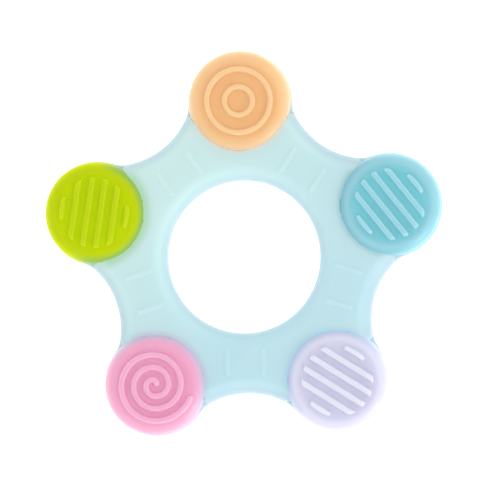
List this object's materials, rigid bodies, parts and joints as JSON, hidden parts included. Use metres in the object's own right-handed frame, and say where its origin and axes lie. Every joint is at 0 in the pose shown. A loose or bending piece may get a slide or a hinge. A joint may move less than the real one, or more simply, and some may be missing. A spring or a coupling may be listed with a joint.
{
  "type": "teething ring",
  "caption": "Flat soft ring with a round grip hole and rounded lobes, each lobe holding a coloured disc with raised chewing ribs on both faces.",
  "frame": {"origin": "centre of the grip hole, at half the ring's thickness", "axes": "+Z along the grip hole's axis, the ring's thin direction; +Y towards the orange disc; +X along the widest span, across the teal and lime discs"},
  "size_m": [0.0992, 0.0956, 0.013],
  "materials": {
    "aqua_silicone": "translucent satin silicone",
    "orange_silicone": "satin silicone",
    "lime_silicone": "satin silicone",
    "pink_silicone": "satin silicone",
    "lilac_silicone": "satin silicone",
    "teal_silicone": "satin silicone"
  },
  "bodies": {
    "root": {"ring_body": "aqua_silicone", "orange_disc": "orange_silicone", "lime_disc": "lime_silicone", "pink_disc": "pink_silicone", "lilac_disc": "lilac_silicone", "teal_disc": "teal_silicone"}
  },
  "joints": []
}
